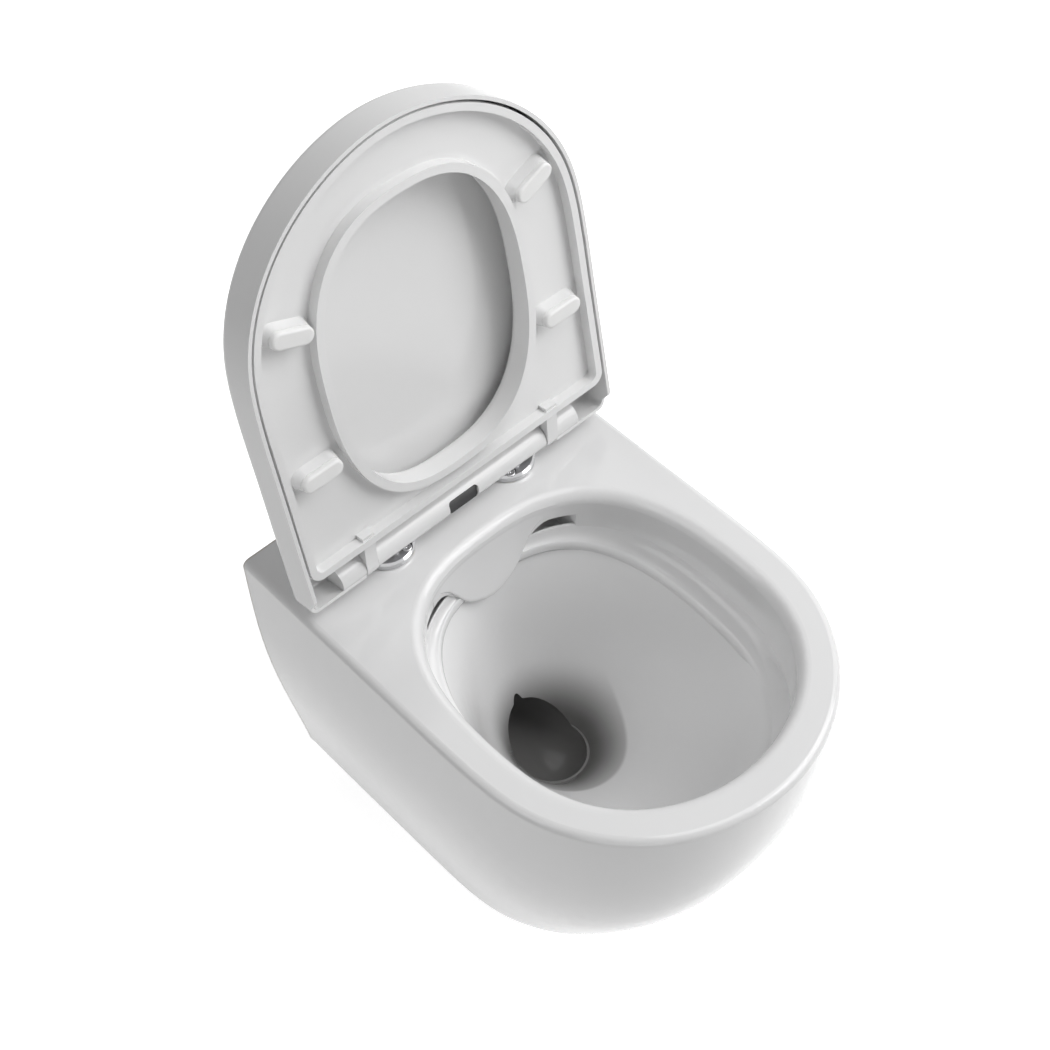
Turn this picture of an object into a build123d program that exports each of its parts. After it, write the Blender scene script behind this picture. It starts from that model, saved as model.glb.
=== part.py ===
"""Wall-hung rimless WC pan with a quick-release, soft-close seat and wrap-over cover.

Millimetres, +Z up. The origin is the middle of the two wall-fixing holes on the plane of the wall:
X runs to the right as seen from the front and -Y points out of the wall. The seat and the cover are
drawn closed and turned up about the hinge axis before they are written.
"""

from build123d import *
import math
import os

os.makedirs("parts", exist_ok=True)

# Overall sizes of the pan
PAN_WIDTH = 365
PAN_DEPTH = 498
PAN_HEIGHT = 350
DECK_Z = 80
WIDEST_Y = -308
SIDE_BOW = 0.25
HULL_FRONT_ACROSS = 1.99
HULL_FRONT_ALONG = 2.145
HULL_SQUARENESS_GAIN = 0.56
WIDEST_SHIFT = 0.80
BOTTOM_EDGE_RADIUS = 16
DECK_EDGE_RADIUS = 7
BACK_OVERRUN = 10

# Stations down the hull: share of the height, inset of each side, inset of the front
HULL_STATIONS = (
    (0.00, 0, 0),
    (0.14, 2, 3),
    (0.36, 7, 14),
    (0.57, 17, 39),
    (0.76, 30, 75),
    (0.90, 40, 106),
    (1.00, 46, 138),
)

# Opening in the deck, the wall under it and the flush shelf
RIM_HALF_WIDTH = 144
RIM_WIDEST_Y = -300
RIM_FRONT_Y = -458
RIM_BACK_Y = -128
RIM_FRONT_ACROSS = 1.98
RIM_FRONT_ALONG = 2.5
RIM_BACK_POWER = 2.6
RIM_EDGE_RADIUS = 12
SHELF_OUTER_BACK_Z = 30
SHELF_OUTER_FRONT_Z = 6
SHELF_INNER_BACK_Z = 24
SHELF_INNER_FRONT_Z = -11
SHELF_WIDTH = 19
SHELF_FRONT_WIDTH = 11
SHELF_BACK_RECESS = 4

# Bowl below the shelf: height, half width, widest y, front y, back y
BOWL_STATIONS = (
    (-40, 112, -285, -415, -136),
    (-95, 84, -257, -360, -151),
    (-135, 58, -233, -302, -165),
    (-160, 45, -221, -273, -173),
    (-182, 37, -218, -255, -181),
)
BOWL_FRONT_POWER = 2.1
BOWL_BACK_POWER = 1.8

# Trap: a round passage from the sump over the weir and out to the waste spigot
TRAP_RADIUS = 35
SUMP_Y = -218
SUMP_Z = -182
TRAP_FOOT_Y = -147
WEIR_Y = -94
WEIR_Z = -60
OUTLET_Z = -100
OUTLET_RUN_Y = -42
TRAP_BEND_RADIUS = 36
SPIGOT_RADIUS = 51
SPIGOT_LENGTH = 45
SPIGOT_POCKET_RADIUS = 74

# Flush inlet, the chamber behind the deflector and the deflector itself
INLET_RADIUS = 27.5
INLET_Z = 35
CHAMBER_HALF_WIDTH = 93
CHAMBER_BACK_Y = -106
CHAMBER_FRONT_Y = -156
CHAMBER_TOP_Z = 53
CHAMBER_BOTTOM_Z = 20
CHAMBER_CORNER_RADIUS = 9
DEFLECTOR_THICKNESS = 10
DEFLECTOR_TOP_Z = 72
DEFLECTOR_FOOT_Z = -6
DEFLECTOR_TOP_SHIFT = 0.5
DEFLECTOR_FOOT_SHIFT = -5
DEFLECTOR_BROW_HALF_WIDTH = 76
DEFLECTOR_LIP_RADIUS = 3

# Lower outline of the deflector on one side of the middle: distance out, height
DEFLECTOR_OUTLINE = ((64, 52), (52, 43), (43, 29), (33.5, 15), (20, 3.5), (0, -2))

# Wall fixings
FIXING_SPACING = 180
FIXING_HOLE_RADIUS = 11
FIXING_LUG = 20
STUD_HOLE_RADIUS = 6.5
SLEEVE_FLANGE_RADIUS = 16
SLEEVE_FLANGE_THICKNESS = 3
SLEEVE_CLEARANCE = 0.2
FIXING_SHAFT_INNER_X = 58
FIXING_SHAFT_OUTER_X = 118
FIXING_SHAFT_FRONT_Y = -84
FIXING_SHAFT_TOP_Z = 28
FIXING_SHAFT_CORNER_RADIUS = 8

# Hinge line and its hardware
HINGE_Y = -88
HINGE_Z = 106
RAISED_ANGLE = 101.8
BAR_RADIUS = 13.5
BAR_HALF_LENGTH = 103
BAR_END_CHAMFER = 0.8
SEAT_HOLE_SPACING = 128
SEAT_HOLE_Y = -92.5
SEAT_HOLE_RADIUS = 8
SEAT_HOLE_DEPTH = 42
POST_SPACING = 149
POST_RADIUS = 5
POST_TOP_Z = 112
POST_FLANGE_RADIUS = 7.2
POST_FLANGE_THICKNESS = 2.4
POST_NECK_RADIUS = 3.2
POST_NECK_HALF_HEIGHT = 3
SOCKET_CLEARANCE = 0.15
DISC_CENTRE_Y = -75.5
DISC_RADIUS = 27
DISC_BEVEL = 2
DISC_TOP_Z = 88
GASKET_THICKNESS = 1
GASKET_INSET = 1
SCREW_RADIUS = 3
SCREW_HOLE_CLEARANCE = 0.3
SCREW_HEAD_EDGE_RADIUS = 1.2
SCREW_HEAD_RADIUS = 5.4
SCREW_HEAD_HEIGHT = 3.6
SCREW_RECESS_RADIUS = 6
SCREW_RECESS_DEPTH = 4.2
SCREW_END_Z = 43
CROSS_RECESS_LENGTH = 6.4
CROSS_RECESS_WIDTH = 1.3
CROSS_RECESS_DEPTH = 2
BUSH_LENGTH = 28
BUSH_SLOT_WIDTH = 1.6
BUSH_SLOT_LENGTH = 16
NUT_LENGTH = 9
FIT_CLEARANCE = 0.05

# Release button, its springs and the two latches, on a plane tilted about the hinge axis
BUTTON_TILT = 7.5
BUTTON_HALF_WIDTH = 17.2
BUTTON_HALF_HEIGHT = 7.2
BUTTON_FACE = -11.6
BUTTON_REAR = 4
BUTTON_SLOT_END = -8
BUTTON_CORNER_RADIUS = 3.5
BUTTON_CLEARANCE = 0.3
BUTTON_TRAVEL = 3.5
BUTTON_DISH_RADIUS = 30
BUTTON_DISH_DEPTH = 0.9
POCKET_FLOOR = 8
LATCH_PIN_RADIUS = 1.5
LATCH_PIN_X = 10
LATCH_PIN_REST = -1
PIN_CLEARANCE = 0.15
LATCH_THICKNESS = 4
LATCH_WIDTH = 5
LATCH_CLEARANCE = 0.2
LATCH_HEAD_INNER_X = 5
LATCH_HEAD_OUTER_X = 17
LATCH_HEAD_FRONT = -4.2
LATCH_HEAD_BACK = 5.8
LATCH_TIP_GAP = 0.3
SPRING_COIL_RADIUS = 1.5
SPRING_WIRE_RADIUS = 0.3
SPRING_TURNS = 5
SPRING_OFFSET = 4.7
SPRING_POCKET_RADIUS = 2.1
SPRING_POCKET_DEPTH = 6

# Soft-close dampers in the ends of the bar
DAMPER_RADIUS = 9.4
DAMPER_LENGTH = 20
DAMPER_KEY_WIDTH = 4
DAMPER_KEY_HEIGHT = 1.5
DAMPER_CLEARANCE = 0.1
SPINDLE_RADIUS = 4
SPINDLE_DEPTH = 15
SPINDLE_FLAT_RADIUS = 5.5
SPINDLE_FLAT_HALF_WIDTH = 4.3
SPINDLE_END_X = 134
RUNNING_CLEARANCE = 0.05

# Seat ring, closed
SEAT_HALF_WIDTH = 175
SEAT_WIDEST_Y = -307
SEAT_FRONT_Y = -487.5
SEAT_BACK_Y = -117.5
SEAT_BOTTOM_Z = 85
SEAT_TOP_Z = 112.5
SEAT_CORNER_RADIUS = 12
SEAT_SIDE_BOW = 0.317
SEAT_FRONT_ACROSS = 1.89
SEAT_FRONT_ALONG = 2.2
SEAT_OPENING_HALF_WIDTH = 105.5
SEAT_OPENING_WIDEST_Y = -290.5
SEAT_OPENING_FRONT_Y = -426.5
SEAT_OPENING_BACK_Y = -141.5
SEAT_OPENING_FRONT_POWER = 2.46
SEAT_OPENING_BACK_POWER = 2.61
SEAT_OUTER_LIP = 7
SEAT_INNER_LIP = 8
SEAT_TROUGH_DEPTH = 11
SEAT_TOP_RADIUS = 7
SEAT_OPENING_RADIUS = 9
SEAT_LIP_RADIUS = 2.5
EAR_INNER_X = 103.4
EAR_OUTER_X = 116
EAR_RADIUS = 14.5
EAR_ROOT_Y = -128

# Rubber bumpers under the seat and the bosses that carry them
BUMPER_LENGTH = 42
BUMPER_WIDTH = 16
BUMPER_FOOT_Z = 80.3
BUMPER_EDGE_RADIUS = 2.5
BUMPER_PEG_RADIUS = 3
BUMPER_PEG_LENGTH = 6
BOSS_TOP_Z = 86
BOSS_TAPER = 14
BUMPER_PLACES = ((131, -362.5, 21), (138, -220.5, 0))

# Cover, closed
COVER_HALF_WIDTH = 181
COVER_FRONT_Y = -493.7
COVER_BACK_Y = -77
COVER_RIM_Z = 84.5
COVER_TOP_Z = 124
COVER_WALL = 3.5
COVER_CEILING = 3
COVER_EDGE_RADIUS = 9
COVER_INSIDE_RADIUS = 5.5
COVER_CORNER_RADIUS = 9
COVER_BACK_RIM_Z = 95
COVER_BACK_RIM_START_Y = -108
COVER_BACK_RIM_TURN_Y = -97
COVER_BACK_RIM_RADIUS = 10
COVER_BACK_WALL_DEPTH = 9
KNUCKLE_INNER_X = 116.4
KNUCKLE_OUTER_X = 143
KNUCKLE_RADIUS = 13.5
KNUCKLE_BORE_DEPTH = 18.5
BUFFER_RADIUS = 7
BUFFER_GAP = 0.3
BUFFER_PLACES = ((140, -250), (112, -424))


def quarter_oval(half_width, reach, across, along, steps=6):
    """Points of a quarter superellipse, from its side at (half_width, 0) to its tip at (0, reach)."""
    angles = [math.pi / 2 * step / steps for step in range(steps + 1)]
    return [
        (half_width * math.cos(angle) ** (2 / across), reach * math.sin(angle) ** (2 / along))
        for angle in angles
    ]


def d_outline(half_width, widest_y, front_y, back_y, side_bow, across, along):
    """Points of an open D: up the right side from its back end, round the front, down the left side."""
    straight = [back_y + (widest_y - back_y) * step / 3 for step in range(3)]
    side = [(half_width - side_bow * ((y - widest_y) / 100) ** 2, y) for y in straight]
    front = [(x, widest_y + y) for x, y in quarter_oval(half_width, front_y - widest_y, across, along)]
    right = side + front
    left = [(-x, y) for x, y in reversed(right[:-1])]
    return right + left


def egg_outline(half_width, widest_y, front_y, back_y, front_across, front_along, back_power):
    """Points of a closed egg, anticlockwise from its right side."""
    back = [
        (x, widest_y + y)
        for x, y in quarter_oval(half_width, back_y - widest_y, back_power, back_power)
    ]
    front = [
        (x, widest_y + y)
        for x, y in quarter_oval(half_width, front_y - widest_y, front_across, front_along)
    ]
    back_left = [(-x, y) for x, y in reversed(back[:-1])]
    front_left = [(-x, y) for x, y in front[1:]]
    front_right = list(reversed(front[:-1]))
    return back + back_left + front_left + front_right[:-1]


def rim_back_y(x):
    """Place of the opening's back edge at a distance from the middle."""
    share = (1 - (abs(x) / RIM_HALF_WIDTH) ** RIM_BACK_POWER) ** (1 / RIM_BACK_POWER)
    return RIM_WIDEST_Y + (RIM_BACK_Y - RIM_WIDEST_Y) * share


def seat_outline(inset):
    """Outline of the closed seat, drawn in by an inset all round."""
    return d_outline(
        SEAT_HALF_WIDTH - inset,
        SEAT_WIDEST_Y,
        SEAT_FRONT_Y + inset,
        SEAT_BACK_Y - inset,
        SEAT_SIDE_BOW,
        SEAT_FRONT_ACROSS,
        SEAT_FRONT_ALONG,
    )


def seat_opening_outline(spread):
    """Outline of the opening in the seat, spread out by a lip all round."""
    return egg_outline(
        SEAT_OPENING_HALF_WIDTH + spread,
        SEAT_OPENING_WIDEST_Y,
        SEAT_OPENING_FRONT_Y - spread,
        SEAT_OPENING_BACK_Y + spread,
        SEAT_OPENING_FRONT_POWER,
        SEAT_OPENING_FRONT_POWER,
        SEAT_OPENING_BACK_POWER,
    )


def cover_outline(inset):
    """Outline of the closed cover, drawn in by an inset all round."""
    return d_outline(
        COVER_HALF_WIDTH - inset,
        SEAT_WIDEST_Y,
        COVER_FRONT_Y + inset,
        COVER_BACK_Y - inset,
        SEAT_SIDE_BOW,
        SEAT_FRONT_ACROSS,
        SEAT_FRONT_ALONG,
    )


def raised(part):
    """The closed piece turned up about the hinge axis."""
    return part.rotate(Axis((0, HINGE_Y, HINGE_Z), (1, 0, 0)), -RAISED_ANGLE)


def write(part, label):
    """Label a finished piece and write its file."""
    part.label = label
    export_step(part, f"parts/{label}.step")


def tilted_plane(back_y, back_z, front_y, front_z):
    """Plane that falls from a height at the back to another at the front, with X kept level."""
    fall = math.atan2(back_z - front_z, back_y - front_y)
    return Plane(
        origin=(0, back_y, back_z), x_dir=(1, 0, 0), z_dir=(0, -math.sin(fall), math.cos(fall))
    ), math.cos(fall)


def on_tilted(points, origin_y, shrink):
    """Plan points written on a tilted plane, so that seen from above they keep their places."""
    return [(x, (y - origin_y) / shrink) for x, y in points]


# Places along the hinge, worked out from the sizes above
HINGE_AXIS = Axis((0, HINGE_Y, HINGE_Z), (1, 0, 0))
POST_X = POST_SPACING / 2
SEAT_HOLE_X = SEAT_HOLE_SPACING / 2
FIXING_X = FIXING_SPACING / 2
BOTTOM_Z = DECK_Z - PAN_HEIGHT
DISC_BOTTOM_Z = DECK_Z + GASKET_THICKNESS
DAMPER_INNER_X = BAR_HALF_LENGTH - DAMPER_LENGTH
tilt = math.radians(BUTTON_TILT)
PRESS_DIRECTION = (0, math.cos(tilt), -math.sin(tilt))
button_plane = Plane(
    origin=(0, HINGE_Y, HINGE_Z), x_dir=(1, 0, 0), z_dir=(0, math.sin(tilt), math.cos(tilt))
)
press_plane = Plane(origin=(0, HINGE_Y, HINGE_Z), x_dir=(1, 0, 0), z_dir=PRESS_DIRECTION)


# Flush deflector: the back wall of the opening carried down as a lobe that leans out over the bowl
with BuildPart() as deflector:
    lobe_x = [DEFLECTOR_BROW_HALF_WIDTH * step / 4 for step in range(-4, 5)]
    for height, shift in (
        (DEFLECTOR_TOP_Z, DEFLECTOR_TOP_SHIFT),
        (DEFLECTOR_FOOT_Z, DEFLECTOR_FOOT_SHIFT),
    ):
        with BuildSketch(Plane.XY.offset(height)):
            with BuildLine():
                face_line = Spline(*[(x, rim_back_y(x) + shift) for x in lobe_x])
                back_line = Spline(*[(x, rim_back_y(x) + shift + DEFLECTOR_THICKNESS) for x in lobe_x])
                Line(face_line @ 0, back_line @ 0)
                Line(face_line @ 1, back_line @ 1)
            make_face()
    loft(ruled=True)
    with BuildSketch(Plane.XZ):
        with BuildLine():
            right_side = [(DEFLECTOR_BROW_HALF_WIDTH, CHAMBER_TOP_Z + 1), *DEFLECTOR_OUTLINE]
            left_side = [(-x, z) for x, z in reversed(right_side[:-1])]
            lobe_line = Spline(*right_side, *left_side)
            Polyline(
                lobe_line @ 1,
                (-DEFLECTOR_BROW_HALF_WIDTH, DEFLECTOR_TOP_Z),
                (DEFLECTOR_BROW_HALF_WIDTH, DEFLECTOR_TOP_Z),
                lobe_line @ 0,
            )
        make_face()
    extrude(amount=-CHAMBER_FRONT_Y, mode=Mode.INTERSECT)

# Ceramic pan
with BuildPart() as ceramic_pan:
    for share, side_inset, front_inset in HULL_STATIONS:
        with BuildSketch(Plane.XY.offset(DECK_Z - share * PAN_HEIGHT)):
            with BuildLine():
                hull_line = Spline(
                    *d_outline(
                        PAN_WIDTH / 2 - side_inset,
                        WIDEST_Y + WIDEST_SHIFT * front_inset,
                        -PAN_DEPTH + front_inset,
                        BACK_OVERRUN,
                        SIDE_BOW,
                        HULL_FRONT_ACROSS + HULL_SQUARENESS_GAIN * share,
                        HULL_FRONT_ALONG + HULL_SQUARENESS_GAIN * share,
                    )
                )
                Line(hull_line @ 1, hull_line @ 0)
            make_face()
    loft()
    split(bisect_by=Plane.XZ, keep=Keep.TOP)
    for level, radius in ((0, BOTTOM_EDGE_RADIUS), (-1, DECK_EDGE_RADIUS)):
        round_edges = ceramic_pan.edges().group_by(Axis.Z)[level]
        fillet(round_edges.filter_by(lambda edge: edge.bounding_box().min.Y < -1), radius)

    # Opening, its wall and the sloping flush shelf
    outer_plane, outer_shrink = tilted_plane(
        RIM_BACK_Y, SHELF_OUTER_BACK_Z, RIM_FRONT_Y, SHELF_OUTER_FRONT_Z
    )
    inner_plane, inner_shrink = tilted_plane(
        RIM_BACK_Y, SHELF_INNER_BACK_Z, RIM_FRONT_Y, SHELF_INNER_FRONT_Z
    )
    rim_points = egg_outline(
        RIM_HALF_WIDTH,
        RIM_WIDEST_Y,
        RIM_FRONT_Y,
        RIM_BACK_Y,
        RIM_FRONT_ACROSS,
        RIM_FRONT_ALONG,
        RIM_BACK_POWER,
    )
    shelf_points = egg_outline(
        RIM_HALF_WIDTH - SHELF_WIDTH,
        RIM_WIDEST_Y,
        RIM_FRONT_Y + SHELF_FRONT_WIDTH,
        RIM_BACK_Y + SHELF_BACK_RECESS,
        RIM_FRONT_ACROSS,
        RIM_FRONT_ALONG,
        RIM_BACK_POWER,
    )
    with BuildSketch(Plane.XY.offset(DECK_Z)):
        with BuildLine():
            Spline(*rim_points, periodic=True)
        make_face()
    with BuildSketch(outer_plane):
        with BuildLine():
            Spline(*on_tilted(rim_points, RIM_BACK_Y, outer_shrink), periodic=True)
        make_face()
    with BuildSketch(inner_plane):
        with BuildLine():
            Spline(*on_tilted(shelf_points, RIM_BACK_Y, inner_shrink), periodic=True)
        make_face()
    loft(ruled=True, mode=Mode.SUBTRACT)

    # Bowl below the shelf, down to the round sump
    with BuildSketch(inner_plane):
        with BuildLine():
            Spline(*on_tilted(shelf_points, RIM_BACK_Y, inner_shrink), periodic=True)
        make_face()
    for height, half_width, widest_y, front_y, back_y in BOWL_STATIONS:
        with BuildSketch(Plane.XY.offset(height)):
            with BuildLine():
                Spline(
                    *egg_outline(
                        half_width,
                        widest_y,
                        front_y,
                        back_y,
                        BOWL_FRONT_POWER,
                        BOWL_FRONT_POWER,
                        BOWL_BACK_POWER,
                    ),
                    periodic=True,
                )
            make_face()
    loft(mode=Mode.SUBTRACT)
    with Locations((0, SUMP_Y, SUMP_Z)):
        Sphere(TRAP_RADIUS, mode=Mode.SUBTRACT)
    rim_edges = ceramic_pan.edges().filter_by(
        lambda edge: edge.center().Z > DECK_Z - 1 and edge.bounding_box().max.X < RIM_HALF_WIDTH + 2
    )
    fillet(rim_edges, RIM_EDGE_RADIUS)

    # Trap passage
    with BuildLine(Plane.YZ) as trap_line:
        FilletPolyline(
            (SUMP_Y, SUMP_Z),
            (TRAP_FOOT_Y, SUMP_Z),
            (WEIR_Y, WEIR_Z),
            (OUTLET_RUN_Y, OUTLET_Z),
            (BACK_OVERRUN, OUTLET_Z),
            radius=TRAP_BEND_RADIUS,
        )
    with BuildSketch(Plane(origin=(0, SUMP_Y, SUMP_Z), x_dir=(1, 0, 0), z_dir=(0, 1, 0))):
        Circle(TRAP_RADIUS)
    sweep(path=trap_line.wires()[0], mode=Mode.SUBTRACT)

    # Pocket that leaves the waste spigot standing
    with BuildSketch(Plane.XZ):
        with Locations((0, OUTLET_Z)):
            Circle(SPIGOT_POCKET_RADIUS)
            Circle(SPIGOT_RADIUS, mode=Mode.SUBTRACT)
    extrude(amount=SPIGOT_LENGTH, mode=Mode.SUBTRACT)

    # Flush chamber behind the deflector, open to the bowl below it and on both sides
    with BuildSketch(Plane.XY.offset(CHAMBER_BOTTOM_Z)):
        with Locations((0, (CHAMBER_BACK_Y + CHAMBER_FRONT_Y) / 2)):
            Rectangle(2 * CHAMBER_HALF_WIDTH, CHAMBER_BACK_Y - CHAMBER_FRONT_Y)
        fillet(vertices().group_by(Axis.Y)[-1], CHAMBER_CORNER_RADIUS)
    extrude(amount=CHAMBER_TOP_Z - CHAMBER_BOTTOM_Z, mode=Mode.SUBTRACT)
    add(deflector.part)

    # Flush inlet from the back face to the chamber
    with BuildSketch(Plane.XZ):
        with Locations((0, INLET_Z)):
            Circle(INLET_RADIUS)
    extrude(amount=-CHAMBER_BACK_Y, mode=Mode.SUBTRACT)

    # Seat-fixing holes in the deck
    with Locations(
        (-SEAT_HOLE_X, SEAT_HOLE_Y, DECK_Z), (SEAT_HOLE_X, SEAT_HOLE_Y, DECK_Z)
    ):
        Hole(SEAT_HOLE_RADIUS, depth=SEAT_HOLE_DEPTH)

    # Wall-fixing holes and the open shafts in front of them
    with BuildSketch(Plane.XZ):
        with Locations((-FIXING_X, 0), (FIXING_X, 0)):
            Circle(FIXING_HOLE_RADIUS)
    extrude(amount=FIXING_LUG + 1, mode=Mode.SUBTRACT)
    with BuildSketch(Plane.XY.offset(FIXING_SHAFT_TOP_Z)):
        shaft_x = (FIXING_SHAFT_INNER_X + FIXING_SHAFT_OUTER_X) / 2
        shaft_y = (FIXING_SHAFT_FRONT_Y - FIXING_LUG) / 2
        with Locations((-shaft_x, shaft_y), (shaft_x, shaft_y)):
            RectangleRounded(
                FIXING_SHAFT_OUTER_X - FIXING_SHAFT_INNER_X,
                -FIXING_SHAFT_FRONT_Y - FIXING_LUG,
                FIXING_SHAFT_CORNER_RADIUS,
            )
    extrude(amount=BOTTOM_Z - FIXING_SHAFT_TOP_Z - 1, mode=Mode.SUBTRACT)
write(ceramic_pan.part, "ceramic_pan")

# Nylon sleeves in the wall-fixing holes, flanged inside the shafts
with BuildPart() as wall_fixing_sleeves:
    with BuildSketch(Plane.XZ):
        with Locations((-FIXING_X, 0), (FIXING_X, 0)):
            Circle(FIXING_HOLE_RADIUS - SLEEVE_CLEARANCE)
    extrude(amount=FIXING_LUG)
    with BuildSketch(Plane.XZ.offset(FIXING_LUG)):
        with Locations((-FIXING_X, 0), (FIXING_X, 0)):
            Circle(SLEEVE_FLANGE_RADIUS)
    extrude(amount=SLEEVE_FLANGE_THICKNESS)
    with BuildSketch(Plane.XZ):
        with Locations((-FIXING_X, 0), (FIXING_X, 0)):
            Circle(STUD_HOLE_RADIUS)
    extrude(amount=FIXING_LUG + SLEEVE_FLANGE_THICKNESS, mode=Mode.SUBTRACT)
write(wall_fixing_sleeves.part, "wall_fixing_sleeves")

# Gaskets, discs and posts on each side of the hinge line
with BuildPart() as disc_gaskets:
    for side in (-1, 1):
        with BuildSketch(Plane.XY.offset(DECK_Z)):
            with Locations((side * POST_X, DISC_CENTRE_Y)):
                Circle(DISC_RADIUS - GASKET_INSET)
            with Locations((side * SEAT_HOLE_X, SEAT_HOLE_Y)):
                Circle(SCREW_RADIUS + SCREW_HOLE_CLEARANCE, mode=Mode.SUBTRACT)
        extrude(amount=GASKET_THICKNESS)
write(disc_gaskets.part, "disc_gaskets")

for side, side_name in ((-1, "left"), (1, "right")):
    with BuildPart() as hinge_disc:
        with Locations((side * POST_X, DISC_CENTRE_Y, DISC_BOTTOM_Z)):
            Cylinder(
                DISC_RADIUS,
                DISC_TOP_Z - DISC_BOTTOM_Z,
                align=(Align.CENTER, Align.CENTER, Align.MIN),
            )
        chamfer(hinge_disc.edges().group_by(Axis.Z)[-1], DISC_BEVEL)
        with Locations((side * POST_X, HINGE_Y, DISC_BOTTOM_Z)):
            Cylinder(
                POST_FLANGE_RADIUS + FIT_CLEARANCE,
                POST_FLANGE_THICKNESS + FIT_CLEARANCE,
                align=(Align.CENTER, Align.CENTER, Align.MIN),
                mode=Mode.SUBTRACT,
            )
        with Locations((side * POST_X, HINGE_Y, DISC_TOP_Z)):
            Hole(POST_RADIUS + FIT_CLEARANCE)
        with Locations((side * SEAT_HOLE_X, SEAT_HOLE_Y, DISC_TOP_Z)):
            CounterBoreHole(
                SCREW_RADIUS + SCREW_HOLE_CLEARANCE, SCREW_RECESS_RADIUS, SCREW_RECESS_DEPTH
            )
    write(hinge_disc.part, f"hinge_disc_{side_name}")

    with BuildPart() as hinge_post:
        with BuildSketch(Plane(origin=(side * POST_X, HINGE_Y, 0), x_dir=(1, 0, 0), z_dir=(0, -1, 0))):
            with BuildLine():
                Polyline(
                    (0, DISC_BOTTOM_Z),
                    (POST_FLANGE_RADIUS, DISC_BOTTOM_Z),
                    (POST_FLANGE_RADIUS, DISC_BOTTOM_Z + POST_FLANGE_THICKNESS),
                    (POST_RADIUS, DISC_BOTTOM_Z + POST_FLANGE_THICKNESS),
                    (POST_RADIUS, HINGE_Z - POST_NECK_HALF_HEIGHT),
                    (POST_NECK_RADIUS, HINGE_Z - POST_NECK_HALF_HEIGHT),
                    (POST_NECK_RADIUS, HINGE_Z + POST_NECK_HALF_HEIGHT),
                    (POST_RADIUS, HINGE_Z + POST_NECK_HALF_HEIGHT),
                    (POST_NECK_RADIUS, POST_TOP_Z),
                    (0, POST_TOP_Z),
                    close=True,
                )
            make_face()
        revolve(axis=Axis((side * POST_X, HINGE_Y, 0), (0, 0, 1)))
    write(hinge_post.part, f"hinge_post_{side_name}")

# Seat-fixing screws with a cross recess, and what they draw up inside the deck
with BuildPart() as seat_fixing_screws:
    head_bottom_z = DISC_TOP_Z - SCREW_RECESS_DEPTH
    for side in (-1, 1):
        with Locations((side * SEAT_HOLE_X, SEAT_HOLE_Y, head_bottom_z)):
            Cylinder(
                SCREW_HEAD_RADIUS, SCREW_HEAD_HEIGHT, align=(Align.CENTER, Align.CENTER, Align.MIN)
            )
    fillet(seat_fixing_screws.edges().group_by(Axis.Z)[-1], SCREW_HEAD_EDGE_RADIUS)
    for side in (-1, 1):
        with Locations((side * SEAT_HOLE_X, SEAT_HOLE_Y, SCREW_END_Z)):
            Cylinder(
                SCREW_RADIUS, head_bottom_z - SCREW_END_Z, align=(Align.CENTER, Align.CENTER, Align.MIN)
            )
        with BuildSketch(Plane.XY.offset(head_bottom_z + SCREW_HEAD_HEIGHT)):
            with Locations((side * SEAT_HOLE_X, SEAT_HOLE_Y)):
                Rectangle(CROSS_RECESS_LENGTH, CROSS_RECESS_WIDTH)
                Rectangle(CROSS_RECESS_WIDTH, CROSS_RECESS_LENGTH)
        extrude(amount=-CROSS_RECESS_DEPTH, mode=Mode.SUBTRACT)
write(seat_fixing_screws.part, "seat_fixing_screws")

with BuildPart() as expansion_bushes:
    for side in (-1, 1):
        with Locations((side * SEAT_HOLE_X, SEAT_HOLE_Y, DECK_Z)):
            Cylinder(
                SEAT_HOLE_RADIUS - FIT_CLEARANCE,
                BUSH_LENGTH,
                align=(Align.CENTER, Align.CENTER, Align.MAX),
            )
        with BuildSketch(Plane.XY.offset(DECK_Z - BUSH_LENGTH)):
            with Locations((side * SEAT_HOLE_X, SEAT_HOLE_Y)):
                Rectangle(2 * SEAT_HOLE_RADIUS, BUSH_SLOT_WIDTH)
        extrude(amount=BUSH_SLOT_LENGTH, mode=Mode.SUBTRACT)
        with Locations((side * SEAT_HOLE_X, SEAT_HOLE_Y, DECK_Z)):
            Hole(SCREW_RADIUS + FIT_CLEARANCE)
write(expansion_bushes.part, "expansion_bushes")

with BuildPart() as bush_nuts:
    for side in (-1, 1):
        with BuildSketch(Plane.XY.offset(DECK_Z - BUSH_LENGTH)):
            with Locations((side * SEAT_HOLE_X, SEAT_HOLE_Y)):
                RegularPolygon(SEAT_HOLE_RADIUS - SLEEVE_CLEARANCE, 6)
                Circle(SCREW_RADIUS + FIT_CLEARANCE, mode=Mode.SUBTRACT)
        extrude(amount=-NUT_LENGTH)
write(bush_nuts.part, "bush_nuts")

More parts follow.
